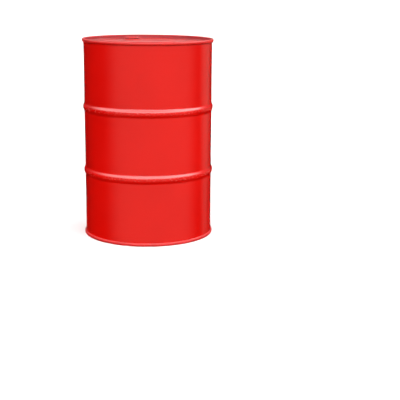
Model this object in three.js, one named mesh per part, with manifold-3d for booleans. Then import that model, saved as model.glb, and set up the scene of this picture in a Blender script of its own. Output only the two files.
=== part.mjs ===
// Tight-head steel drum of about 216 litres: one rolled body with two swaged rolling hoops, two heads
// double-seamed onto it, and two threaded bungs in the top head.
// Millimetres, +Z up. The origin is the centre of the circle that the drum stands on.

import * as THREE from 'three';
import { mergeVertices } from 'three/addons/utils/BufferGeometryUtils.js';
import Module from 'manifold-3d';

const wasm = await Module();
wasm.setup();

// ---- Driving dimensions ----

const HEIGHT = 884;
const SHEET = 1.2;
const BODY_OUTER_RADIUS = 287;
const FACETS = 36;
const FIT_GAP = 0.3;

const hoop = {
  heights: [295, 581],
  halfWidth: 23,
  rise: 7.9,
  crownBend: 34,
  footBend: 20,
};

// The seam is five layers of sheet. Its depths are measured down from the chime's crest.
const seam = {
  layerGap: 0.75,
  depth: 15,
  crestBend: 2.8,
  bulge: 0.7,
  bulgeDepth: 8,
  hookBend: 1.5,
  bodyFlangeDepth: 3,
  bodyHookDepth: 11,
  coverHookDepth: 5.2,
};

const head = {
  recess: 18,
  cornerBend: 6,
  beadHalfWidth: 9,
  beadRise: 3,
  beadFootBend: 3,
  beadCrownBend: 6,
  topBeads: [130],
  bottomBeads: [110, 190],
};

const compound = { thickness: 1, width: 2.4 };

// Each bung is a flange fixed in the head, and a plug that screws into it.
const bungs = [
  {
    size: '2in',
    azimuth: 110,
    orbit: 215,
    facets: 32,
    bossRadius: 47,
    bossRise: 3,
    flangeRadius: 42,
    neckRadius: 32.2,
    threadRadius: 28.9,
    threadLength: 16,
    rimRadius: 34.8,
    rimHeight: 3,
    recessRadius: 24.5,
    recessDepth: 15,
    lugReach: 8,
    lugWidth: 9,
  },
  {
    size: '3_4in',
    azimuth: 290,
    orbit: 215,
    facets: 24,
    bossRadius: 27,
    bossRise: 3,
    flangeRadius: 22,
    neckRadius: 15.8,
    threadRadius: 12.6,
    threadLength: 14,
    rimRadius: 17.6,
    rimHeight: 3,
    recessRadius: 9.2,
    recessDepth: 11,
    lugReach: 2.6,
    lugWidth: 4,
  },
];

const flange = { baseThickness: 3, neckAboveBoss: 2.4, gasketWidth: 4 };
const gasket = { thickness: 1.6, plugHeight: 2.4, rimInset: 1 };
const KEYED_SIDES = 8;
const LUG_ROOT = 1.5;
const CUT_REACH = 5;
const MERGE_TOLERANCE = 1e-4;

// ---- Colours and finishes ----

const finishes = {
  paint: { color: 0xd81c14, roughness: 0.35, metalness: 0.1 },
  zinc: { color: 0xb9b7ae, roughness: 0.42, metalness: 0.85 },
  rubber: { color: 0x1c1c1c, roughness: 0.85, metalness: 0 },
  sealant: { color: 0x5b5348, roughness: 0.8, metalness: 0 },
};

// ---- Sheet-metal outlines, in the (radius, height) plane ----

const point = (r, z, bend = 0, steps = 2) => ({ r, z, bend, steps });

// Rounds each corner that has a bend radius, and returns the points with their left-hand normals.
function bentCentreline(corners) {
  const samples = [];
  corners.forEach((corner, i) => {
    const here = new THREE.Vector2(corner.r, corner.z);
    const before = corners[i - 1];
    const after = corners[i + 1];
    const arriving = before ? here.clone().sub(new THREE.Vector2(before.r, before.z)).normalize() : null;
    const leaving = after ? new THREE.Vector2(after.r, after.z).sub(here).normalize() : null;
    if (!arriving || !leaving) {
      const along = arriving ?? leaving;
      samples.push({ at: here, normal: new THREE.Vector2(-along.y, along.x) });
      return;
    }
    const turn = Math.atan2(arriving.cross(leaving), arriving.dot(leaving));
    const side = Math.sign(turn);
    const setback = corner.bend * Math.tan(Math.abs(turn) / 2);
    const start = here.clone().addScaledVector(arriving, -setback);
    const inward = new THREE.Vector2(-arriving.y, arriving.x).multiplyScalar(side);
    const centre = start.clone().addScaledVector(inward, corner.bend);
    for (let step = 0; step <= corner.steps; step += 1) {
      const radial = inward.clone().negate().rotateAround(new THREE.Vector2(), (turn * step) / corner.steps);
      samples.push({
        at: centre.clone().addScaledVector(radial, corner.bend),
        normal: radial.clone().multiplyScalar(-side),
      });
    }
  });
  return samples;
}

// The closed outline of a sheet of even thickness along a bent centreline.
function sheetOutline(corners) {
  const samples = bentCentreline(corners);
  const edge = (side) =>
    samples.map(({ at, normal }) => at.clone().addScaledVector(normal, (side * SHEET) / 2));
  const outline = [...edge(-1), ...edge(1).reverse()];
  const startsOnAxis = corners[0].r === 0;
  if (!startsOnAxis) outline.push(outline[0].clone());
  return outline;
}

const upsideDown = (corners) => corners.map((corner) => ({ ...corner, z: HEIGHT - corner.z }));

// ---- Solids ----

const signedVolume = (geometry) => {
  const place = geometry.getAttribute('position');
  const index = geometry.getIndex().array;
  const corner = [new THREE.Vector3(), new THREE.Vector3(), new THREE.Vector3()];
  let sum = 0;
  for (let i = 0; i < index.length; i += 3) {
    corner.forEach((vertex, k) => vertex.fromBufferAttribute(place, index[i + k]));
    sum += corner[0].dot(corner[1].cross(corner[2]));
  }
  return sum / 6;
};

// Merges the shared vertices, drops the slivers on the axis, and turns the faces outwards.
function closed(geometry) {
  const bare = geometry.clone();
  bare.deleteAttribute('normal');
  bare.deleteAttribute('uv');
  const merged = mergeVertices(bare, MERGE_TOLERANCE);
  const index = Array.from(merged.getIndex().array);
  const kept = [];
  for (let i = 0; i < index.length; i += 3) {
    const [a, b, c] = index.slice(i, i + 3);
    if (a !== b && b !== c && c !== a) kept.push(a, b, c);
  }
  merged.setIndex(kept);
  if (signedVolume(merged) < 0) merged.setIndex(kept.reverse());
  return merged;
}

const lathe = (outline, facets) => closed(new THREE.LatheGeometry(outline, facets).rotateX(Math.PI / 2));

const ringOutline = (inner, outer, bottom, top) => [
  new THREE.Vector2(inner, bottom),
  new THREE.Vector2(outer, bottom),
  new THREE.Vector2(outer, top),
  new THREE.Vector2(inner, top),
  new THREE.Vector2(inner, bottom),
];

const ring = (inner, outer, bottom, top, facets) => lathe(ringOutline(inner, outer, bottom, top), facets);

const disc = (radius, bottom, top, facets) =>
  closed(
    new THREE.CylinderGeometry(radius, radius, top - bottom, facets)
      .rotateX(Math.PI / 2)
      .translate(0, 0, (bottom + top) / 2)
  );

const block = (width, depth, height) => closed(new THREE.BoxGeometry(width, depth, height));

const solid = (geometry) =>
  new wasm.Manifold(
    new wasm.Mesh({
      numProp: 3,
      vertProperties: new Float32Array(geometry.getAttribute('position').array),
      triVerts: new Uint32Array(geometry.getIndex().array),
    })
  );

function toGeometry(manifold) {
  const mesh = manifold.getMesh();
  const geometry = new THREE.BufferGeometry();
  geometry.setAttribute('position', new THREE.BufferAttribute(new Float32Array(mesh.vertProperties), 3));
  geometry.setIndex(new THREE.BufferAttribute(new Uint32Array(mesh.triVerts), 1));
  return geometry;
}

const drum = new THREE.Group();

function addPart(name, geometry, finish, place = new THREE.Vector3()) {
  const shown = geometry.index ? geometry.toNonIndexed() : geometry;
  shown.computeVertexNormals();
  const mesh = new THREE.Mesh(shown, new THREE.MeshStandardMaterial(finishes[finish]));
  mesh.name = name;
  mesh.position.copy(place);
  drum.add(mesh);
}

// ---- The seam's layers, as centreline radii from the inside out ----

const layerPitch = SHEET + seam.layerGap;
const bodyWall = BODY_OUTER_RADIUS - SHEET / 2;
const chuckWall = bodyWall - layerPitch;
const coverHook = bodyWall + layerPitch;
const bodyHook = bodyWall + 2 * layerPitch;
const seamWall = bodyWall + 3 * layerPitch;

// ---- Body: a welded tube, flanged and hooked at both ends, with two rolling hoops ----

function bodyTopEdge() {
  const flangeHeight = HEIGHT - seam.bodyFlangeDepth - SHEET / 2;
  return [
    point(bodyWall, flangeHeight, seam.hookBend, 1),
    point(bodyHook, flangeHeight, seam.hookBend, 1),
    point(bodyHook, HEIGHT - seam.bodyHookDepth),
  ];
}

const rollingHoop = (height) => [
  point(bodyWall, height - hoop.halfWidth, hoop.footBend, 1),
  point(bodyWall + hoop.rise, height, hoop.crownBend, 3),
  point(bodyWall, height + hoop.halfWidth, hoop.footBend, 1),
];

function bodyCorners() {
  return [...upsideDown(bodyTopEdge()).reverse(), ...hoop.heights.flatMap(rollingHoop), ...bodyTopEdge()];
}

// ---- Heads: a recessed panel with pressed beads, and an edge folded over the body's hook ----

const panelHeight = HEIGHT - head.recess;

const bead = (radius) => [
  point(radius - head.beadHalfWidth, panelHeight - SHEET / 2, head.beadFootBend, 1),
  point(radius, panelHeight - SHEET / 2 + head.beadRise, head.beadCrownBend, 1),
  point(radius + head.beadHalfWidth, panelHeight - SHEET / 2, head.beadFootBend, 1),
];

const headCorners = (beadRadii) => [
  point(0, panelHeight - SHEET / 2),
  ...beadRadii.flatMap(bead),
  point(chuckWall, panelHeight - SHEET / 2, head.cornerBend),
  point(chuckWall, HEIGHT - SHEET / 2, seam.crestBend),
  point(seamWall, HEIGHT - SHEET / 2, seam.crestBend),
  point(seamWall + seam.bulge, HEIGHT - seam.bulgeDepth, seam.bulgeDepth, 1),
  point(seamWall, HEIGHT - seam.depth + SHEET / 2, seam.hookBend, 1),
  point(coverHook, HEIGHT - seam.depth + SHEET / 2, seam.hookBend, 1),
  point(coverHook, HEIGHT - seam.coverHookDepth),
];

// ---- Bungs ----

const upwards = new THREE.Vector3(0, 0, 1);
const bungPlace = ({ azimuth, orbit }) =>
  new THREE.Vector3(orbit, 0, 0).applyAxisAngle(upwards, THREE.MathUtils.degToRad(azimuth));

// Heights on a bung, all measured from the head's panel up.
const bossTop = (bung) => panelHeight + bung.bossRise;
const neckTop = (bung) => bossTop(bung) + flange.neckAboveBoss;
const plugSeat = (bung) => neckTop(bung) + FIT_GAP;

// The head is pressed up into a shallow eight-sided boss round each neck, which keys the flange.
function bossShell(bung, rise, spread) {
  const radius = bung.bossRadius + spread;
  const shell = new THREE.CylinderGeometry(radius - bung.bossRise, radius, bung.bossRise + SHEET, KEYED_SIDES)
    .rotateX(Math.PI / 2)
    .translate(0, 0, panelHeight + rise - (bung.bossRise + SHEET) / 2);
  return solid(closed(shell));
}

function topHead() {
  let shape = solid(lathe(sheetOutline(headCorners(head.topBeads)), FACETS));
  for (const bung of bungs) {
    const place = bungPlace(bung).toArray();
    const raised = bossShell(bung, bung.bossRise, 0);
    const hollow = bossShell(bung, bung.bossRise - SHEET, -SHEET / 2);
    const hole = solid(
      disc(bung.neckRadius + FIT_GAP, panelHeight - CUT_REACH, neckTop(bung), bung.facets)
    );
    shape = shape
      .add(raised.translate(place))
      .subtract(hollow.translate(place))
      .subtract(hole.translate(place));
  }
  return toGeometry(shape);
}

// The flange has an eight-sided base under the boss and a threaded neck up through the head.
function flangeBody(bung) {
  const baseTop = bossTop(bung) - SHEET - gasket.thickness - 2 * FIT_GAP;
  const base = solid(disc(bung.flangeRadius, baseTop - flange.baseThickness, baseTop, KEYED_SIDES));
  const neckBottom = plugSeat(bung) - bung.threadLength;
  const neck = solid(disc(bung.neckRadius, neckBottom, neckTop(bung), bung.facets));
  const bore = solid(
    disc(bung.threadRadius + FIT_GAP, neckBottom - FIT_GAP, neckTop(bung) + FIT_GAP, bung.facets)
  );
  return toGeometry(base.add(neck).subtract(bore));
}

function flangeGasket(bung) {
  const top = bossTop(bung) - SHEET - FIT_GAP;
  const inner = bung.neckRadius + FIT_GAP;
  return ring(inner, inner + flange.gasketWidth, top - gasket.thickness, top, bung.facets);
}

// The plug is a cup: a rim that clamps its gasket, a threaded skirt, and lugs that a bung wrench turns.
function plugBody(bung) {
  const rimBottom = plugSeat(bung) + gasket.plugHeight - FIT_GAP;
  const rimTop = rimBottom + bung.rimHeight;
  const skirtBottom = plugSeat(bung) - bung.threadLength + FIT_GAP;
  const rim = solid(disc(bung.rimRadius, rimBottom, rimTop, bung.facets));
  const skirt = solid(disc(bung.threadRadius, skirtBottom, rimTop - FIT_GAP, bung.facets));
  const recess = solid(disc(bung.recessRadius, rimTop - bung.recessDepth, rimTop + FIT_GAP, bung.facets));
  let cup = rim.add(skirt).subtract(recess);
  const lugLength = bung.lugReach + LUG_ROOT;
  const lugHeight = bung.recessDepth - bung.rimHeight + FIT_GAP;
  const lugMiddle = rimTop - bung.recessDepth - FIT_GAP + lugHeight / 2;
  for (const side of [-1, 1]) {
    const lug = solid(block(lugLength, bung.lugWidth, lugHeight));
    cup = cup.add(lug.translate([side * (bung.recessRadius + LUG_ROOT - lugLength / 2), 0, lugMiddle]));
  }
  return toGeometry(cup);
}

function plugGasket(bung) {
  const bottom = plugSeat(bung);
  const top = bottom + gasket.plugHeight - 2 * FIT_GAP;
  return ring(bung.threadRadius + FIT_GAP, bung.rimRadius - gasket.rimInset, bottom, top, bung.facets);
}

// Sealing compound lies in the curl of each seam, on top of the body's flange.
function sealingRing() {
  const top = HEIGHT - SHEET - FIT_GAP;
  const inner = (bodyWall + bodyHook) / 2 - compound.width / 2;
  return ring(inner, inner + compound.width, top - compound.thickness, top, FACETS);
}

const turnedOver = (geometry) => closed(geometry.clone().rotateX(Math.PI).translate(0, 0, HEIGHT));

// ---- Assembly ----

addPart('body_shell', lathe(sheetOutline(bodyCorners()), FACETS), 'paint');
addPart('top_head', topHead(), 'paint');
addPart('bottom_head', turnedOver(lathe(sheetOutline(headCorners(head.bottomBeads)), FACETS)), 'paint');
addPart('top_seam_compound', sealingRing(), 'sealant');
addPart('bottom_seam_compound', turnedOver(sealingRing()), 'sealant');

for (const bung of bungs) {
  const place = bungPlace(bung);
  addPart(`flange_${bung.size}`, flangeBody(bung), 'zinc', place);
  addPart(`flange_gasket_${bung.size}`, flangeGasket(bung), 'rubber', place);
  addPart(`plug_gasket_${bung.size}`, plugGasket(bung), 'rubber', place);
  addPart(`plug_${bung.size}`, plugBody(bung), 'paint', place);
}

export default drum;
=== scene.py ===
"""A red tight-head steel drum: its looks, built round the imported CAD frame.

Metres, +Z up, the viewer on -Y."""

import math

import bmesh
import bpy
from mathutils import Matrix, Vector, noise
from mathutils.geometry import delaunay_2d_cdt


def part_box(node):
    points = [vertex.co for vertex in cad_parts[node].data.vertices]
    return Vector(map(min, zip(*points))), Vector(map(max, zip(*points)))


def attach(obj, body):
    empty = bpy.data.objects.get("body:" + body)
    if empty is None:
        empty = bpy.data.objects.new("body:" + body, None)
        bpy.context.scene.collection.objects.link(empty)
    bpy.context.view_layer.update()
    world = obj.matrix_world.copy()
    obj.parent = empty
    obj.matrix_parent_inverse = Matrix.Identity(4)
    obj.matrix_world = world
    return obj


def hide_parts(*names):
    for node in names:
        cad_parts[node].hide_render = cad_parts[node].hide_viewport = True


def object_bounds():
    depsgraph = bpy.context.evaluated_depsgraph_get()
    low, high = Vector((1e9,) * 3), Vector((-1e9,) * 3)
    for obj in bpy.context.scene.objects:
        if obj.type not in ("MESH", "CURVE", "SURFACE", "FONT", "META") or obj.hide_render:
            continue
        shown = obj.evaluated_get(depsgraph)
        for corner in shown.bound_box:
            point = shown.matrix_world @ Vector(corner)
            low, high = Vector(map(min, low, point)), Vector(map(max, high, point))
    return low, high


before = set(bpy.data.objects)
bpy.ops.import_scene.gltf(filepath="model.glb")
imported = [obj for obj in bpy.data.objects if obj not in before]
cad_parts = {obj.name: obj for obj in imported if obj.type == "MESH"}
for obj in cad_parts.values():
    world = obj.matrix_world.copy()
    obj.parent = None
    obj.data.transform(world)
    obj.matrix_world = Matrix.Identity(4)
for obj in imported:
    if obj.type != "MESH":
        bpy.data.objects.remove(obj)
cad_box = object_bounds()

MM = 0.001
TAU = 2 * math.pi

# ---- Sizes of the body and heads ----

HEIGHT = cad_box[1][2]
SHEET = 1.2 * MM
SEGMENTS = 288
POINT_SPACING = 12 * MM
LEAST_CLEARANCE = 0.6 * POINT_SPACING
MERGE_DISTANCE = 0.01 * MM
SAME_POINT = 1e-7

BODY_WALL = 286.4 * MM
HOOP_HEIGHTS = (295 * MM, 581 * MM)
HOOP_HALF_WIDTH = 19 * MM
HOOP_RISE = 7.9 * MM
HOOP_CROWN_BEND = 26 * MM
HOOP_FOOT_BEND = 20 * MM

WELD_AZIMUTH = math.radians(52)
WELD_HALF_WIDTH = 2.6 * MM
WELD_HEIGHT = 0.35 * MM
WALL_WAVE = 0.45 * MM
WALL_WAVES_ROUND = 1.7
WALL_WAVES_UP = 4.5
WALL_WAVE_CREST = 0.8
WALL_WAVE_FREE = 30 * MM
WALL_WAVE_FADE = 50 * MM

# The seam's five layers of sheet, by the radius of their middles. Depths are measured down from the
# crest.
LAYER_PITCH = 1.4 * MM
CHUCK_WALL = BODY_WALL - LAYER_PITCH
COVER_HOOK = BODY_WALL + LAYER_PITCH
BODY_HOOK = BODY_WALL + 2 * LAYER_PITCH
SEAM_SHOULDER = BODY_WALL + 4.8 * MM
SEAM_MIDDLE = BODY_WALL + 7.0 * MM
SEAM_FOOT = BODY_WALL + 4.3 * MM
SEAM_DEPTH = 15 * MM
SEAM_MIDDLE_DEPTH = 7.5 * MM
SEAM_CURVE = 12 * MM
CREST_BEND = 2.8 * MM
HOOK_BEND = 1.4 * MM
BODY_FLANGE_DEPTH = 3.6 * MM
BODY_HOOK_DEPTH = 11 * MM
COVER_HOOK_DEPTH = 5.2 * MM

HEAD_RECESS = 18 * MM
PANEL = HEIGHT - HEAD_RECESS - SHEET / 2
PANEL_WAVE = 0.5 * MM
PANEL_WAVES_PER_METRE = 7
PANEL_WAVE_PATTERN = 3.1
PANEL_WAVE_FADE = 25 * MM
HEAD_CORNER_BEND = 6 * MM
BEAD_HALF_WIDTH = 9 * MM
BEAD_RISE = 3 * MM
BEAD_FOOT_BEND = 6 * MM
BEAD_CROWN_BEND = 9 * MM
BEAD_MARGIN = 4 * MM
TOP_BEADS = (130 * MM,)
BOTTOM_BEADS = (110 * MM, 190 * MM)


# ---- Points and faces ----


def weld_together(mesh):
    """Merges the points that coincide, and turns all the faces the same way."""
    surface = bmesh.new()
    surface.from_mesh(mesh)
    bmesh.ops.remove_doubles(surface, verts=surface.verts, dist=MERGE_DISTANCE)
    bmesh.ops.recalc_face_normals(surface, faces=surface.faces)
    surface.to_mesh(mesh)
    surface.free()


def mesh_object(name, points, faces, body, node, materials):
    """A piece that rides on a body and stands for one CAD node."""
    mesh = bpy.data.meshes.new(name)
    mesh.from_pydata(points, [], faces)
    weld_together(mesh)
    mesh.shade_smooth()
    for material in materials:
        mesh.materials.append(material)
    piece = bpy.data.objects.new(name, mesh)
    bpy.context.scene.collection.objects.link(piece)
    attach(piece, body)
    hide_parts(node)
    return piece


def corner(r, z, bend=0.0, steps=6):
    """A corner of an outline: its radius and height, its bend radius, and the steps that round it."""
    return (r, z, bend, steps)


def bent_line(corners):
    """The points of a line through the corners, with each corner rounded to its bend radius."""
    line = []
    for i, (r, z, bend, steps) in enumerate(corners):
        here = Vector((r, z))
        if bend == 0 or i in (0, len(corners) - 1):
            line.append(here)
            continue
        arriving = (here - Vector(corners[i - 1][:2])).normalized()
        leaving = (Vector(corners[i + 1][:2]) - here).normalized()
        turn = math.atan2(arriving.cross(leaving), arriving.dot(leaving))
        setback = bend * math.tan(abs(turn) / 2)
        inward = Vector((-arriving.y, arriving.x)) * math.copysign(1, turn)
        centre = here - arriving * setback + inward * bend
        for step in range(steps + 1):
            line.append(centre + Matrix.Rotation(turn * step / steps, 2) @ (-inward * bend))
    return line


def refined(line):
    """The same line, with long stretches split so that its points lie close together."""
    fine = [line[0]]
    for start, end in zip(line, line[1:]):
        pieces = max(1, math.ceil((end - start).length / POINT_SPACING))
        fine += [start.lerp(end, k / pieces) for k in range(1, pieces + 1)]
    return fine


def even_angles(count):
    return [TAU * k / count for k in range(count)]


def eased(share):
    """0 up to share 0, 1 from share 1 on, and a smooth change between."""
    share = min(1.0, max(0.0, share))
    return share * share * (3 - 2 * share)


def value_at(size, angle):
    return size(angle) if callable(size) else size


def turned(rings, angles, centre=(0.0, 0.0), closed=False, cap_start=False, cap_end=False):
    """Points and faces of rings round a vertical axis. Each ring is (radius, height), and either may be
    a function of the angle."""
    points = []
    for radius, height in rings:
        for angle in angles:
            r = value_at(radius, angle)
            x = centre[0] + r * math.cos(angle)
            y = centre[1] + r * math.sin(angle)
            points.append((x, y, value_at(height, angle)))
    count = len(angles)
    faces = []
    for row in range(len(rings) if closed else len(rings) - 1):
        low = row * count
        high = (row + 1) % len(rings) * count
        for k in range(count):
            after = (k + 1) % count
            faces.append((low + k, low + after, high + after, high + k))
    if cap_start:
        points.append((*centre, points[0][2]))
        faces += [((k + 1) % count, k, len(points) - 1) for k in range(count)]
    if cap_end:
        last = (len(rings) - 1) * count
        points.append((*centre, points[last][2]))
        faces += [(last + k, last + (k + 1) % count, len(points) - 1) for k in range(count)]
    return points, faces


def together(parts):
    """One list of points and one of faces, from several pairs of them."""
    points, faces = [], []
    for part_points, part_faces in parts:
        faces += [tuple(len(points) + n for n in face) for face in part_faces]
        points += part_points
    return points, faces


def thicken(piece):
    """Gives a surface down the middle of a sheet the sheet's real thickness."""
    solidify = piece.modifiers.new("sheet_thickness", "SOLIDIFY")
    solidify.thickness = SHEET
    solidify.offset = 0
    solidify.use_even_offset = True


# ---- Node trees ----


class Nodes:
    """A short way to write a node tree."""

    def __init__(self, tree):
        self.tree = tree

    def add(self, kind, **settings):
        node = self.tree.nodes.new(kind)
        for key, value in settings.items():
            setattr(node, key, value)
        return node

    def feed(self, socket, value):
        if isinstance(value, bpy.types.NodeSocket):
            self.tree.links.new(value, socket)
        else:
            socket.default_value = value

    def math(self, operation, a, b=0.0):
        node = self.add("ShaderNodeMath", operation=operation)
        self.feed(node.inputs[0], a)
        self.feed(node.inputs[1], b)
        return node.outputs[0]

    def inverse(self, value):
        return self.math("SUBTRACT", 1.0, value)

    def split(self, vector):
        node = self.add("ShaderNodeSeparateXYZ")
        self.feed(node.inputs[0], vector)
        return node.outputs

    def steps(self, value, low, high):
        """0 below low, 1 above high, and a smooth change between."""
        node = self.add("ShaderNodeMapRange", interpolation_type="SMOOTHSTEP")
        self.feed(node.inputs["Value"], value)
        node.inputs["From Min"].default_value = low
        node.inputs["From Max"].default_value = high
        return node.outputs["Result"]

    def between(self, share, low, high):
        """low where the share is 0, high where it is 1."""
        node = self.add("ShaderNodeMapRange")
        self.feed(node.inputs["Value"], share)
        self.feed(node.inputs["To Min"], low)
        self.feed(node.inputs["To Max"], high)
        return node.outputs["Result"]

    def blend(self, share, first, second):
        node = self.add("ShaderNodeMix", data_type="RGBA")
        self.feed(node.inputs[0], share)
        self.feed(node.inputs[6], first)
        self.feed(node.inputs[7], second)
        return node.outputs[2]


class Finish(Nodes):
    """A material. Its patterns are laid out in metres on the object."""

    def __init__(self, name, metallic=0.0):
        self.material = bpy.data.materials.new(name)
        self.material.use_nodes = True
        super().__init__(self.material.node_tree)
        self.shader = self.tree.nodes["Principled BSDF"]
        self.shader.inputs["Metallic"].default_value = metallic
        self.position = self.add("ShaderNodeTexCoord").outputs["Object"]

    def noise(self, per_metre, detail=3.0, roughness=0.5, stretch=(1, 1, 1)):
        mapping = self.add("ShaderNodeMapping")
        self.feed(mapping.inputs["Vector"], self.position)
        mapping.inputs["Scale"].default_value = stretch
        node = self.add("ShaderNodeTexNoise")
        self.feed(node.inputs["Vector"], mapping.outputs[0])
        node.inputs["Scale"].default_value = per_metre
        node.inputs["Detail"].default_value = detail
        node.inputs["Roughness"].default_value = roughness
        return node.outputs["Fac"]

    def radius(self):
        """The distance from the drum's axis."""
        x, y, _ = self.split(self.position)
        squares = self.math("ADD", self.math("MULTIPLY", x, x), self.math("MULTIPLY", y, y))
        return self.math("SQRT", squares)

    def bump(self, height, distance, strength):
        node = self.add("ShaderNodeBump")
        node.inputs["Strength"].default_value = strength
        node.inputs["Distance"].default_value = distance
        self.feed(node.inputs["Height"], height)
        self.feed(self.shader.inputs["Normal"], node.outputs[0])

    def colour(self, value):
        self.feed(self.shader.inputs["Base Color"], value)

    def roughness(self, value):
        self.feed(self.shader.inputs["Roughness"], value)


# ---- Materials ----

ENAMEL = (0.485, 0.0016, 0.0003, 1)
ENAMEL_DEEP = (0.45, 0.0013, 0.0002, 1)
ENAMEL_RUBBED = (0.50, 0.035, 0.028, 1)
# A dark painted shade for the head's corner and chuck wall.
PAINTED_SHADE = (0.10, 0.004, 0.006, 1)
SCUFF = (0.36, 0.05, 0.04, 1)
# A pale film colour: partly dust, partly a painted sheen on the top head.
DUST_AND_SHEEN = (0.55, 0.36, 0.33, 1)

RUB_FADE = 1.2 * MM
RUB_STRENGTH = 0.45
SCUFF_STRENGTH = 0.5
WORN_ROUGHNESS = 0.2
# Where the pale film of dust and painted sheen fades out towards the chuck wall.
DUST_AND_SHEEN_MARGIN = 7 * MM
DUST_AND_SHEEN_FREE = 2 * MM
# Where the painted shade reaches into the head's corner, and where it stops below the crest.
PAINTED_SHADE_REACH = 6 * MM
PAINTED_SHADE_TOP = 4 * MM
PAINTED_SHADE_FREE = 2 * MM
ORANGE_PEEL = 0.06 * MM

HOOP_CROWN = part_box("body_shell")[1].x
CHIME_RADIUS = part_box("top_head")[1].x
HOOP_RUBBED = HOOP_CROWN - 1.6 * MM
CHIME_RUBBED = CHIME_RADIUS - 1.3 * MM
SCUFF_HEIGHT = 10 * MM


def rubbed_share(m, rubbed_from):
    """The patches worn through the gloss, beyond a radius where the sheet stands proud."""
    proud = m.steps(m.radius(), rubbed_from, rubbed_from + RUB_FADE)
    patches = m.steps(m.noise(95, detail=6, roughness=0.66, stretch=(1, 1, 2.2)), 0.5, 0.64)
    return m.math("MULTIPLY", m.math("MULTIPLY", proud, patches), RUB_STRENGTH)


def scuffed_share(m, scuffed_below):
    """The fine scuffs below a height."""
    low = m.inverse(m.steps(m.split(m.position)[2], scuffed_below * 0.3, scuffed_below))
    grit = m.steps(m.noise(190, detail=5, roughness=0.7, stretch=(1, 1, 0.4)), 0.6, 0.72)
    return m.math("MULTIPLY", m.math("MULTIPLY", low, grit), SCUFF_STRENGTH)


def dust_and_sheen_share(m, dust_and_sheen_amount):
    """A pale film inside the chuck wall: partly dust, and partly a painted sheen that lightens the head.
    """
    flat = m.inverse(m.steps(m.radius(), CHUCK_WALL - DUST_AND_SHEEN_MARGIN, CHUCK_WALL - DUST_AND_SHEEN_FREE))
    settled_dust_and_sheen = m.math("MULTIPLY", m.steps(m.noise(24, detail=7, roughness=0.65), 0.35, 0.75), dust_and_sheen_amount)
    return m.math("MULTIPLY", settled_dust_and_sheen, flat)


def painted_shade_share(m):
    """Painted shade in the corner of the panel and up the chuck wall, which ends below the crest."""
    outward = m.steps(m.radius(), CHUCK_WALL - PAINTED_SHADE_REACH, CHUCK_WALL - SHEET)
    inside = m.inverse(m.steps(m.radius(), CHUCK_WALL, CHUCK_WALL + SHEET))
    below_crest = m.inverse(m.steps(m.split(m.position)[2], HEIGHT - PAINTED_SHADE_TOP, HEIGHT - PAINTED_SHADE_FREE))
    shaded_corner = m.math("MULTIPLY", m.math("MULTIPLY", outward, inside), below_crest)
    patchy = m.between(m.noise(30, detail=5), 0.5, 0.8)
    return m.math("MULTIPLY", shaded_corner, patchy)


def enamel(name, rubbed_from=None, scuffed_below=None, dust_and_sheen_amount=0.0, painted_corner_shade=False, dulled=0.0):
    """Glossy red enamel of slowly changing depth. It can be rubbed where it stands furthest from the
    axis, scuffed near the floor, given a pale film that is partly dust and partly a painted sheen,
    darkened by painted shade in the head's corner, and duller all over."""
    m = Finish(name)
    colour = m.blend(m.steps(m.noise(3.2, detail=4), 0.35, 0.7), ENAMEL, ENAMEL_DEEP)
    worn = 0.0
    if rubbed_from is not None:
        worn = rubbed_share(m, rubbed_from)
        colour = m.blend(worn, colour, ENAMEL_RUBBED)
    if scuffed_below is not None:
        scuffed = scuffed_share(m, scuffed_below)
        colour = m.blend(scuffed, colour, SCUFF)
        worn = m.math("MAXIMUM", worn, scuffed)
    # A pale film that is partly dust and partly a painted sheen.
    if dust_and_sheen_amount:
        dust_and_sheen_film = dust_and_sheen_share(m, dust_and_sheen_amount)
        colour = m.blend(dust_and_sheen_film, colour, DUST_AND_SHEEN)
        worn = m.math("MAXIMUM", worn, dust_and_sheen_film)
    # Painted shade darkens the head's corner and the chuck wall.
    if painted_corner_shade:
        colour = m.blend(painted_shade_share(m), colour, PAINTED_SHADE)
    m.colour(colour)
    haze = m.between(m.noise(9, detail=5), 0.18, 0.27)
    m.roughness(m.math("ADD", m.math("ADD", haze, dulled), m.math("MULTIPLY", worn, WORN_ROUGHNESS)))
    m.bump(m.noise(420, detail=2), ORANGE_PEEL, 0.35)
    return m.material


def zinc(name):
    """Zinc-plated pressed steel, with a faint spangle and the dull streaks of handling."""
    m = Finish(name, metallic=1.0)
    cells = m.add("ShaderNodeTexVoronoi")
    m.feed(cells.inputs["Vector"], m.position)
    cells.inputs["Scale"].default_value = 260
    tint = m.blend(m.noise(24, detail=4), (0.5, 0.48, 0.42, 1), (0.66, 0.65, 0.62, 1))
    m.colour(m.blend(m.between(cells.outputs["Distance"], 0.0, 0.35), tint, (0.42, 0.41, 0.38, 1)))
    m.roughness(m.between(m.noise(90, detail=5), 0.28, 0.52))
    m.bump(m.noise(700, detail=3), 0.04 * MM, 0.6)
    return m.material


def rubber(name):
    """Black moulded rubber, slightly dusty."""
    m = Finish(name)
    m.colour(m.blend(m.noise(160, detail=4), (0.012, 0.012, 0.012, 1), (0.045, 0.043, 0.04, 1)))
    m.roughness(m.between(m.noise(300, detail=4), 0.65, 0.9))
    m.bump(m.noise(1400, detail=2), 0.05 * MM, 0.5)
    return m.material


def sealant(name):
    """Cured seam compound, lumpy where it was squeezed."""
    m = Finish(name)
    m.colour(m.blend(m.noise(110, detail=5), (0.09, 0.07, 0.05, 1), (0.17, 0.14, 0.11, 1)))
    m.roughness(m.between(m.noise(200, detail=3), 0.6, 0.85))
    m.bump(m.noise(500, detail=4), 0.15 * MM, 0.7)
    return m.material


body_enamel = enamel("body_enamel", rubbed_from=HOOP_RUBBED)
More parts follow.
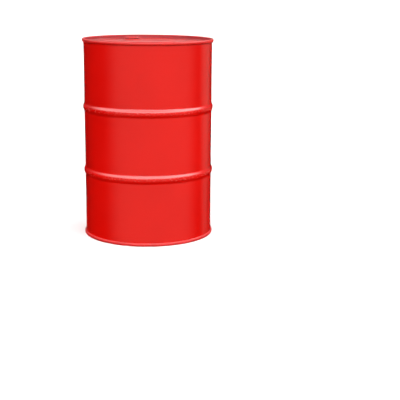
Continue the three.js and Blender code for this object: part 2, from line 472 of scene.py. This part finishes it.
# The top head is darkened by painted shade in its corner, and lightened by a pale film that is partly
# dust and partly painted sheen.
top_enamel = enamel(
    "top_enamel", rubbed_from=CHIME_RUBBED, dust_and_sheen_amount=0.14, painted_corner_shade=True, dulled=0.16
)
base_enamel = enamel(
    "base_enamel", rubbed_from=CHIME_RUBBED, scuffed_below=SCUFF_HEIGHT, dulled=0.2
)
bung_enamel = enamel("bung_enamel", dust_and_sheen_amount=0.06)
plated = zinc("zinc_plate")
black_rubber = rubber("black_rubber")
seam_sealant = sealant("seam_sealant")


# ---- Body ----


def hoop_corners(height):
    return [
        corner(BODY_WALL, height - HOOP_HALF_WIDTH, HOOP_FOOT_BEND, 6),
        corner(BODY_WALL + HOOP_RISE, height, HOOP_CROWN_BEND, 14),
        corner(BODY_WALL, height + HOOP_HALF_WIDTH, HOOP_FOOT_BEND, 6),
    ]


def body_line():
    """The body's outline from its lower hook to its upper one."""
    flange = HEIGHT - BODY_FLANGE_DEPTH
    upper_edge = [
        corner(BODY_WALL, flange, HOOK_BEND),
        corner(BODY_HOOK, flange, HOOK_BEND),
        corner(BODY_HOOK, HEIGHT - BODY_HOOK_DEPTH),
    ]
    lower_edge = [corner(r, HEIGHT - z, bend, steps) for r, z, bend, steps in reversed(upper_edge)]
    hoops = [c for height in HOOP_HEIGHTS for c in hoop_corners(height)]
    return refined(bent_line([*lower_edge, *hoops, *upper_edge]))


def body_angles():
    """Even angles, with closer ones across the welded seam."""
    step = WELD_HALF_WIDTH / 3 / BODY_WALL
    across = [WELD_AZIMUTH + k * step for k in range(-5, 6)]
    even = [angle for angle in even_angles(SEGMENTS) if abs(angle - WELD_AZIMUTH) > 6 * step]
    return sorted(even + across)


def weld(angle):
    """How far the welded seam stands out of the wall: a low rounded ridge."""
    across = (angle - WELD_AZIMUTH) * BODY_WALL / WELD_HALF_WIDTH
    return WELD_HEIGHT * math.sqrt(max(0.0, 1 - across * across))


def wall_wave(angle, height):
    """The slight hollows that rolling and handling leave in thin sheet. They only go inwards."""
    x = WALL_WAVES_ROUND * math.cos(angle)
    y = WALL_WAVES_ROUND * math.sin(angle)
    depth = noise.noise(Vector((x, y, WALL_WAVES_UP * height))) - WALL_WAVE_CREST
    nearest = min(abs(height - stop) for stop in (0.0, *HOOP_HEIGHTS, HEIGHT))
    return depth * WALL_WAVE * eased((nearest - WALL_WAVE_FREE) / WALL_WAVE_FADE)


def body_ring(place):
    """A ring of the body: wavy and ridged by the weld, except where the seams grip it."""
    if min(place.y, HEIGHT - place.y) < SEAM_DEPTH + SHEET:
        return place.x, place.y
    return lambda angle: place.x + weld(angle) + wall_wave(angle, place.y), place.y


def make_body():
    points, faces = turned([body_ring(place) for place in body_line()], body_angles())
    piece = mesh_object("drum_body", points, faces, "drum", "body_shell", [body_enamel])
    thicken(piece)


# ---- Heads ----


def head_edge_line():
    """From the flat panel out: the corner, the chuck wall, the crest, the rounded chime and the cover
    hook."""
    foot = HEIGHT - SEAM_DEPTH + SHEET / 2
    crest = HEIGHT - SHEET / 2
    return bent_line(
        [
            corner(CHUCK_WALL - 2 * HEAD_CORNER_BEND, PANEL),
            corner(CHUCK_WALL, PANEL, HEAD_CORNER_BEND, 10),
            corner(CHUCK_WALL, crest, CREST_BEND, 10),
            corner(SEAM_SHOULDER, crest, CREST_BEND, 10),
            corner(SEAM_MIDDLE, HEIGHT - SEAM_MIDDLE_DEPTH, SEAM_CURVE, 8),
            corner(SEAM_FOOT, foot, HOOK_BEND),
            corner(COVER_HOOK, foot, HOOK_BEND),
            corner(COVER_HOOK, HEIGHT - COVER_HOOK_DEPTH),
        ]
    )


def bead_line(radius):
    return bent_line(
        [
            corner(radius - BEAD_HALF_WIDTH - BEAD_MARGIN, PANEL),
            corner(radius - BEAD_HALF_WIDTH, PANEL, BEAD_FOOT_BEND, 6),
            corner(radius, PANEL + BEAD_RISE, BEAD_CROWN_BEND, 8),
            corner(radius + BEAD_HALF_WIDTH, PANEL, BEAD_FOOT_BEND, 6),
            corner(radius + BEAD_HALF_WIDTH + BEAD_MARGIN, PANEL),
        ]
    )


def circle_points(radius, angles, centre=(0.0, 0.0)):
    return [(centre[0] + radius * math.cos(a), centre[1] + radius * math.sin(a)) for a in angles]


def panel_ring(inner, outer, holes=()):
    """The flat stretch of a head between two circles, slightly wavy, with round holes left open.

    Each hole is (centre, radius, angles). The edges follow the circles exactly, so what joins them meets
    them point to point."""
    loops = [circle_points(outer, even_angles(SEGMENTS))]
    if inner:
        loops.append(circle_points(inner, even_angles(SEGMENTS)))
    loops += [circle_points(radius, angles, centre) for centre, radius, angles in holes]
    flat, edges = [], []
    for loop in loops:
        edges += [(len(flat) + k, len(flat) + (k + 1) % len(loop)) for k in range(len(loop))]
        flat += loop

    def clearance(x, y):
        gaps = [outer - math.hypot(x, y)]
        if inner:
            gaps.append(math.hypot(x, y) - inner)
        gaps += [math.hypot(x - centre[0], y - centre[1]) - radius for centre, radius, _ in holes]
        return min(gaps)

    for k in range(int(outer / POINT_SPACING)):
        radius = (k + 0.5) * POINT_SPACING
        count = max(6, int(TAU * radius / POINT_SPACING))
        spots = circle_points(radius, even_angles(count))
        flat += [spot for spot in spots if clearance(*spot) > LEAST_CLEARANCE]
    loose = [Vector(spot) for spot in flat]
    spots, _, triangles, _, _, _ = delaunay_2d_cdt(loose, edges, [], 0, SAME_POINT)
    faces = []
    for triangle in triangles:
        middle = sum((spots[n] for n in triangle), Vector((0, 0))) / 3
        if clearance(*middle) > 0:
            faces.append(tuple(triangle))
    points = []
    for x, y in spots:
        place = Vector((x * PANEL_WAVES_PER_METRE, y * PANEL_WAVES_PER_METRE, PANEL_WAVE_PATTERN))
        wave = noise.noise(place) * PANEL_WAVE
        points.append((x, y, PANEL + wave * min(1.0, max(0.0, clearance(x, y)) / PANEL_WAVE_FADE)))
    return points, faces


def head_parts(beads, holes=()):
    """The surfaces that make up one head, as a top head. The holes lie outside the outermost bead."""
    edge = head_edge_line()
    parts = [turned(edge, even_angles(SEGMENTS))]
    outer = edge[0].x
    for bead in reversed(beads):
        line = bead_line(bead)
        parts.append(turned(line, even_angles(SEGMENTS)))
        parts.append(panel_ring(line[-1].x, outer, holes))
        holes = ()
        outer = line[0].x
    parts.append(panel_ring(0, outer, holes))
    return parts


def make_bottom_head():
    points, faces = together(head_parts(BOTTOM_BEADS))
    turned_over = [(x, -y, HEIGHT - z) for x, y, z in points]
    piece = mesh_object(
        "drum_bottom_head", turned_over, faces, "drum", "bottom_head", [base_enamel]
    )
    thicken(piece)


# ---- Bungs ----

BOSS_RISE = 3 * MM
BOSS_BLEND = 9 * MM
BOSS_SOFTENING = 2.2 * MM
COLLAR_BEND = 1.4 * MM
COLLAR_HEIGHT = 0.9 * MM
FLANGE_BASE = 3 * MM
FLANGE_LIP = 3 * MM
FIT_GAP = 0.3 * MM
THREAD_CLEARANCE = 0.25 * MM
THREAD_STEPS = 10
THREAD_STEEPNESS = 2.9
THREAD_GROOVE_SHARE = 0.22
BORE_THREAD_FOOT = 0.4 * MM
BORE_THREAD_TOP = 1 * MM
PLUG_THREAD_FOOT = 0.8 * MM
PLUG_THREAD_TOP = 1.6 * MM
FLANGE_EDGE = 0.6 * MM
LIP_THICKNESS = 1.1 * MM
RIM_UNDERCUT = 0.3 * MM
LUG_FILLET = 0.3 * MM
SKIRT_CHAMFER = 0.8 * MM
GASKET_CLEARANCE = 0.2 * MM
GASKET_INSET = 1 * MM
INCH = 25.4 * MM
LUG_DEPTH = 3 * MM
KEYED_SIDES = 8
CORNER_SOFTNESS = 26


class Bung:
    """One bung's place and sizes. What the frame holds is read from it, and the rest is given."""

    def __init__(
        self,
        size,
        threads_per_inch,
        boss_radius,
        neck_radius,
        ridge_radius,
        groove_radius,
        recess_radius,
        recess_depth,
        lug_reach,
        lug_half_width,
        rounding,
        points_round,
    ):
        low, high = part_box(f"plug_{size}")
        gasket_low, gasket_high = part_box(f"plug_gasket_{size}")
        flange_low, flange_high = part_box(f"flange_{size}")
        self.size = size
        self.centre = ((low.x + high.x) / 2, (low.y + high.y) / 2)
        self.rim_radius = (high.x - low.x) / 2
        self.rim_top = high.z
        self.rim_bottom = gasket_high.z + FIT_GAP
        self.skirt_bottom = low.z
        self.seat = gasket_low.z
        self.gasket_top = gasket_high.z
        self.neck_top = flange_high.z
        self.flange_bottom = flange_low.z
        self.flange_apothem = (flange_high.x - flange_low.x) / 2 * math.cos(math.pi / KEYED_SIDES)
        self.pitch = INCH / threads_per_inch
        self.boss_radius = boss_radius
        self.neck_radius = neck_radius
        self.ridge_radius = ridge_radius
        self.groove_radius = groove_radius
        self.recess_radius = recess_radius
        self.recess_floor = high.z - recess_depth
        self.lug_reach = lug_reach
        self.lug_half_width = lug_half_width
        self.rounding = rounding
        self.angles = even_angles(points_round)


bungs = [
    Bung(
        "2in",
        threads_per_inch=11,
        boss_radius=47 * MM,
        neck_radius=32.2 * MM,
        ridge_radius=29.75 * MM,
        groove_radius=28.35 * MM,
        recess_radius=24.5 * MM,
        recess_depth=15 * MM,
        lug_reach=8 * MM,
        lug_half_width=4.5 * MM,
        rounding=1.0 * MM,
        points_round=144,
    ),
    Bung(
        "3_4in",
        threads_per_inch=14,
        boss_radius=27 * MM,
        neck_radius=15.8 * MM,
        ridge_radius=13.2 * MM,
        groove_radius=12.1 * MM,
        recess_radius=9.2 * MM,
        recess_depth=11 * MM,
        lug_reach=2.6 * MM,
        lug_half_width=2 * MM,
        rounding=0.6 * MM,
        points_round=96,
    ),
]


def eight_sided(apothem):
    """The radius round an octagon with softly rounded corners, as a function of the angle."""
    sides = [TAU * (k + 0.5) / KEYED_SIDES for k in range(KEYED_SIDES)]

    def radius(angle):
        pull = sum(max(0.0, math.cos(angle - side)) ** CORNER_SOFTNESS for side in sides)
        return apothem / pull ** (1 / CORNER_SOFTNESS)

    return radius


def boss_outer_radius(bung):
    return bung.boss_radius + BOSS_BLEND


def boss_surface(bung):
    """The boss pressed up in the head, from the middle out: a collar round the flange's neck, a flat top,
    an eight-sided slope and the panel round it."""
    foot = bung.boss_radius * math.cos(math.pi / KEYED_SIDES)
    top = PANEL + BOSS_RISE
    collar = bung.neck_radius + FIT_GAP + SHEET / 2
    bend_steps = 5
    slope_steps = 8
    rings = [(collar, top + SHEET / 2 + COLLAR_HEIGHT)]
    for k in range(bend_steps, -1, -1):
        angle = math.pi / 2 * k / bend_steps
        outward = COLLAR_BEND * (1 - math.sin(angle))
        upward = COLLAR_BEND * (1 - math.cos(angle))
        rings.append((collar + outward, top + upward))
    for k in range(slope_steps + 1):
        along = k / slope_steps
        rings.append((eight_sided(foot - BOSS_RISE * (1 - along)), top - BOSS_RISE * eased(along)))
    rings.append((eight_sided(foot + BOSS_SOFTENING), PANEL))
    rings.append((boss_outer_radius(bung), PANEL))
    return turned(rings, bung.angles, bung.centre)


def make_top_head():
    holes = [(bung.centre, boss_outer_radius(bung), bung.angles) for bung in bungs]
    parts = head_parts(TOP_BEADS, holes)
    parts += [boss_surface(bung) for bung in bungs]
    points, faces = together(parts)
    piece = mesh_object("drum_top_head", points, faces, "drum", "top_head", [top_enamel])
    thicken(piece)


def thread_depth(bung, height, angle):
    """0 in the groove of a right-hand thread and 1 on its ridge."""
    phase = ((height - bung.seat) / bung.pitch - angle / TAU) % 1.0
    nearness = 0.5 - abs(phase - 0.5)
    return min(1.0, max(0.0, nearness * THREAD_STEEPNESS - THREAD_GROOVE_SHARE))


def thread_rings(bung, low, high, radius_at):
    """Rings from low to high, with radius_at(depth, run) for the thread's depth and how fully it has
    formed, which grows from 0 at each end to 1 half a turn in."""
    count = round((high - low) / bung.pitch * THREAD_STEPS)
    rings = []

    def threaded(height, run):
        return lambda angle: radius_at(thread_depth(bung, height, angle), run)

    for k in range(count + 1):
        height = low + (high - low) * k / count
        run = min(1.0, (height - low) / (bung.pitch / 2), (high - height) / (bung.pitch / 2))
        rings.append((threaded(height, run), height))
    return rings


def bore_threads(bung):
    """The flange's thread. It opens out at both ends, so that the plug enters freely."""
    low = bung.flange_bottom + BORE_THREAD_FOOT
    high = bung.neck_top - BORE_THREAD_TOP
    inner = bung.groove_radius + THREAD_CLEARANCE
    reach = bung.ridge_radius - bung.groove_radius
    return thread_rings(bung, low, high, lambda depth, run: inner + reach * max(depth, 1 - run))


def plug_threads(bung):
    """The plug's thread. It runs out flush with the groove at both ends."""
    low = bung.skirt_bottom + PLUG_THREAD_FOOT
    high = bung.rim_bottom - PLUG_THREAD_TOP
    reach = bung.ridge_radius - bung.groove_radius
    return thread_rings(bung, low, high, lambda depth, run: bung.groove_radius + reach * depth * run)


def paint_where(piece, is_painted):
    """Gives the faces whose middles pass the test the second material, the drum's paint."""
    for face in piece.data.polygons:
        if is_painted(face.center):
            face.material_index = 1


def make_flange(bung):
    """The flange: an eight-sided base under the head, and a threaded neck whose lip is rolled over the
    head's collar."""
    base_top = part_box(f"flange_gasket_{bung.size}")[0].z - FIT_GAP
    base_bottom = base_top - FLANGE_BASE
    neck = bung.neck_radius
    edge = FLANGE_EDGE
    base = eight_sided(bung.flange_apothem)
    base_edge = eight_sided(bung.flange_apothem - edge)
    mouth = bung.ridge_radius + THREAD_CLEARANCE
    lip = neck + FLANGE_LIP
    lip_bottom = bung.neck_top - LIP_THICKNESS
    outside = [
        (mouth, bung.flange_bottom),
        (neck - edge, bung.flange_bottom),
        (neck, bung.flange_bottom + edge),
        (neck, base_bottom - 2 * edge),
        (neck + 2 * edge, base_bottom),
        (base_edge, base_bottom),
        (base, base_bottom + edge),
        (base, base_top - edge),
        (base_edge, base_top),
        (neck + edge, base_top),
        (neck, base_top + edge),
        (neck, lip_bottom),
        (lip - edge, lip_bottom),
        (lip - 0.2 * edge, lip_bottom + 0.3 * edge),
        (lip, (lip_bottom + bung.neck_top) / 2),
        (lip - 0.2 * edge, bung.neck_top - 0.3 * edge),
        (lip - edge, bung.neck_top),
        (mouth + 2 * edge, bung.neck_top),
        (mouth + 0.5 * edge, bung.neck_top - 0.5 * edge),
    ]
    rings = [*outside, *reversed(bore_threads(bung))]
    points, faces = turned(rings, bung.angles, bung.centre, closed=True)
    name = f"flange_{bung.size}"
    piece = mesh_object(f"bung_{name}", points, faces, "drum", name, [plated, bung_enamel])
    paint_where(piece, lambda middle: middle.z > PANEL + BOSS_RISE)


def recess_outline(bung):
    """The radius round the plug's recess, where two lugs reach in, as a function of the angle."""
    lug_end = bung.recess_radius - bung.lug_reach
    side = 0.06 * bung.recess_radius

    def radius(angle):
        across = abs(math.sin(angle)) * bung.recess_radius
        share = eased((bung.lug_half_width + side - across) / side)
        lug = lug_end / max(0.5, abs(math.cos(angle)))
        return bung.recess_radius + (lug - bung.recess_radius) * share

    return radius


def make_plug(bung):
    """The plug: a rim, a threaded skirt, and a recess with two lugs for the bung wrench."""
    rim = bung.rim_radius
    top = bung.rim_top
    recess = bung.recess_radius
    floor = bung.recess_floor
    groove = bung.groove_radius
    edge = bung.rounding
    lug_top = top - LUG_DEPTH
    outline = recess_outline(bung)

    def inside(inset):
        return lambda angle: outline(angle) - inset

    def lug_edge(share):
        """Round the tops of the lugs, back towards the recess's wall, by a share of the rounding."""
        return lambda angle: outline(angle) + share * edge * (recess - outline(angle)) / bung.lug_reach

    hollow = [
        (recess * 0.3, floor),
        (recess * 0.55, floor),
        (inside(1.6 * edge), floor),
        (inside(0.5 * edge), floor + 0.5 * edge),
        (outline, floor + 1.6 * edge),
        (outline, lug_top - edge),
        (lug_edge(0.3), lug_top - 0.25 * edge),
        (lug_edge(1.0), lug_top),
        (recess, lug_top + LUG_FILLET),
        (recess, top - 1.2 * edge),
    ]
    rim_section = [
        (recess + 0.35 * edge, top - 0.35 * edge),
        (recess + 1.2 * edge, top),
        (rim - 1.1 * edge, top),
        (rim - 0.32 * edge, top - 0.32 * edge),
        (rim, top - 1.1 * edge),
        (rim, bung.rim_bottom + 0.5 * edge),
        (rim - 0.15 * edge, bung.rim_bottom + 0.15 * edge),
        (rim - 0.5 * edge, bung.rim_bottom),
        (groove + RIM_UNDERCUT, bung.rim_bottom),
        (groove, bung.rim_bottom - RIM_UNDERCUT),
    ]
    underside = [(groove - SKIRT_CHAMFER, bung.skirt_bottom), (groove * 0.5, bung.skirt_bottom)]
    rings = [*hollow, *rim_section, *reversed(plug_threads(bung)), *underside]
    points, faces = turned(rings, bung.angles, bung.centre, cap_start=True, cap_end=True)
    name = f"plug_{bung.size}"
    piece = mesh_object(
        f"bung_{name}", points, faces, f"bung_{bung.size}", name, [plated, bung_enamel]
    )

    def is_painted(middle):
        away = math.hypot(middle.x - bung.centre[0], middle.y - bung.centre[1])
        return middle.z > bung.rim_bottom or (away < recess and middle.z > floor - edge)

    paint_where(piece, is_painted)


def soft_ring(name, inner, outer, low, high, angles, centre, body, node, material):
    """A ring with rounded edges, such as a gasket."""
    edge = 0.35 * min(high - low, outer - inner)
    middle = (inner + outer) / 2
    line = bent_line(
        [
            corner(middle, low),
            corner(outer, low, edge, 4),
            corner(outer, high, edge, 4),
            corner(inner, high, edge, 4),
            corner(inner, low, edge, 4),
            corner(middle, low),
        ]
    )
    points, faces = turned(line[:-1], angles, centre, closed=True)
    mesh_object(name, points, faces, body, node, [material])


def make_gaskets(bung):
    """One gasket under the plug's rim, which rises with the plug, and one between the flange and the
    head."""
    soft_ring(
        f"bung_gasket_{bung.size}",
        bung.ridge_radius + GASKET_CLEARANCE,
        bung.rim_radius - GASKET_INSET,
        bung.seat,
        bung.gasket_top,
        bung.angles,
        bung.centre,
        f"bung_{bung.size}_gasket",
        f"plug_gasket_{bung.size}",
        black_rubber,
    )
    low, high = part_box(f"flange_gasket_{bung.size}")
    soft_ring(
        f"bung_flange_gasket_{bung.size}",
        bung.neck_radius + FIT_GAP,
        (high.x - low.x) / 2,
        low.z,
        high.z,
        bung.angles,
        bung.centre,
        "drum",
        f"flange_gasket_{bung.size}",
        black_rubber,
    )


COMPOUND_WIDTH = 2.4 * MM


def make_seam_compound(where):
    """The compound in the curl of one seam, under its crest."""
    low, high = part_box(f"{where}_seam_compound")
    soft_ring(
        f"{where}_seam_sealant",
        high.x - COMPOUND_WIDTH,
        high.x,
        low.z,
        high.z,
        even_angles(SEGMENTS),
        (0.0, 0.0),
        "drum",
        f"{where}_seam_compound",
        seam_sealant,
    )


make_body()
make_top_head()
make_bottom_head()
for bung in bungs:
    make_flange(bung)
    make_plug(bung)
    make_gaskets(bung)
for where in ("top", "bottom"):
    make_seam_compound(where)


# ---- Stage ----

FLOOR_RADIUS = 60.0
FLOOR_CENTRE = 1.0
FLOOR_DROP = 0.2 * MM
WHITE = (1, 1, 1, 1)

# The studio, by direction from the drum. Azimuths are turned right from the viewer, and strengths are
# radiances.
BELOW_SIDE = math.radians(10)
BELOW_DARK = 0.01
BELOW_LIT = 0.62
BELOW_COLOUR = (1, 0.98, 0.82, 1)
BEHIND = math.radians(180)
BACKDROP = 1.0
HORIZON_DARK = 0.12
UPPER_WALL = 0.62
CEILING = 0.2
SOFTBOX_SIDE = math.radians(60)
SOFTBOX_DIM = 6.0
SOFTBOX_BRIGHT = 10.0
STRIP_SIDE = math.radians(126)
STRIP = 0.4


def make_floor():
    """A pale floor, kept out of the drum's reflections and bounced light."""
    rings = [(FLOOR_RADIUS, -FLOOR_DROP), (FLOOR_CENTRE, -FLOOR_DROP)]
    points, faces = turned(rings, even_angles(96), cap_end=True)
    mesh = bpy.data.meshes.new("floor")
    mesh.from_pydata(points, [], faces)
    floor = bpy.data.objects.new("floor", mesh)
    bpy.context.scene.collection.objects.link(floor)
    m = Finish("pale_floor")
    m.colour(m.blend(m.noise(2, detail=2), (0.86, 0.86, 0.86, 1), (0.9, 0.9, 0.9, 1)))
    m.roughness(0.9)
    mesh.materials.append(m.material)
    floor.visible_glossy = False
    floor.visible_diffuse = False


def towards(nodes, direction, azimuth):
    """How nearly a direction points to an azimuth: 1 straight at it, 0 beside it, -1 away from it."""
    node = nodes.add("ShaderNodeVectorMath", operation="DOT_PRODUCT")
    nodes.feed(node.inputs[0], direction)
    nodes.feed(node.inputs[1], (math.sin(azimuth), -math.cos(azimuth), 0))
    return node.outputs["Value"]


def make_world():
    """A studio, which the viewer sees as plain white.

    Below the horizon it is lit in front and dark elsewhere, with a faint strip behind on the right. Above
    it are a dark horizon with a bright backdrop straight behind, a pale upper wall, a dim ceiling, and a
    softbox that runs all round except behind and is brightest on the right."""
    world = bpy.data.worlds.new("studio")
    bpy.context.scene.world = world
    world.use_nodes = True
    world.cycles.sampling_method = "NONE"
    world.node_tree.nodes.clear()
    n = Nodes(world.node_tree)
    direction = n.add("ShaderNodeTexCoord").outputs["Generated"]
    height = n.split(direction)[2]
    front = n.steps(towards(n, direction, BELOW_SIDE), -0.1, 0.6)
    lit_below = n.math("MULTIPLY", front, n.steps(height, -0.75, -0.3))
    below = n.between(lit_below, BELOW_DARK, BELOW_LIT)
    strip_across = n.steps(towards(n, direction, STRIP_SIDE), 0.94, 0.97)
    strip_share = n.math("MULTIPLY", strip_across, n.steps(height, -0.5, -0.06))
    strip = n.math("MULTIPLY", strip_share, STRIP)
    behind = towards(n, direction, BEHIND)
    horizon = n.between(n.steps(behind, 0.92, 0.985), HORIZON_DARK, BACKDROP)
    backdrop = n.between(n.steps(height, 0.2, 0.4), horizon, UPPER_WALL)
    sky = n.between(n.steps(height, 0.5, 0.85), backdrop, CEILING)
    band = n.math("MULTIPLY", n.steps(height, 0.25, 0.38), n.inverse(n.steps(height, 0.48, 0.66)))
    around = n.inverse(n.steps(behind, 0.4, 0.8))
    side = n.steps(towards(n, direction, SOFTBOX_SIDE), -0.9, 0.5)
    brightness = n.between(side, SOFTBOX_DIM, SOFTBOX_BRIGHT)
    softbox = n.math("MULTIPLY", n.math("MULTIPLY", band, around), brightness)
    above = n.math("ADD", sky, softbox)
    raised = n.steps(height, 0.01, 0.11)
    radiance = n.between(raised, n.math("ADD", below, strip), above)
    lit = n.add("ShaderNodeBackground")
    n.feed(lit.inputs["Strength"], radiance)
    n.feed(lit.inputs["Color"], n.blend(raised, BELOW_COLOUR, WHITE))
    seen = n.add("ShaderNodeBackground")
    seen.inputs["Color"].default_value = WHITE
    mix = n.add("ShaderNodeMixShader")
    n.feed(mix.inputs[0], n.add("ShaderNodeLightPath").outputs["Is Camera Ray"])
    n.feed(mix.inputs[1], lit.outputs[0])
    n.feed(mix.inputs[2], seen.outputs[0])
    n.feed(n.add("ShaderNodeOutputWorld").inputs["Surface"], mix.outputs[0])


CAMERA_DISTANCE = 4.317
CAMERA_HEIGHT = 1.134
CAMERA_PITCH = math.radians(12.92)
CAMERA_YAW = math.radians(3.165)
CAMERA_ROLL = math.radians(0.49)
CAMERA_LENS = 85.95
SENSOR_WIDTH = 36


def make_camera():
    data = bpy.data.cameras.new("camera")
    data.lens = CAMERA_LENS
    data.sensor_width = SENSOR_WIDTH
    camera = bpy.data.objects.new("camera", data)
    camera.location = (0, -CAMERA_DISTANCE, CAMERA_HEIGHT)
    turn = Matrix.Rotation(-CAMERA_YAW, 3, "Z")
    tilt = Matrix.Rotation(math.pi / 2 - CAMERA_PITCH, 3, "X")
    roll = Matrix.Rotation(CAMERA_ROLL, 3, "Z")
    camera.rotation_euler = (turn @ tilt @ roll).to_euler()
    bpy.context.scene.collection.objects.link(camera)
    bpy.context.scene.camera = camera


make_floor()
make_world()
make_camera()
bpy.context.scene.view_settings.view_transform = "Standard"
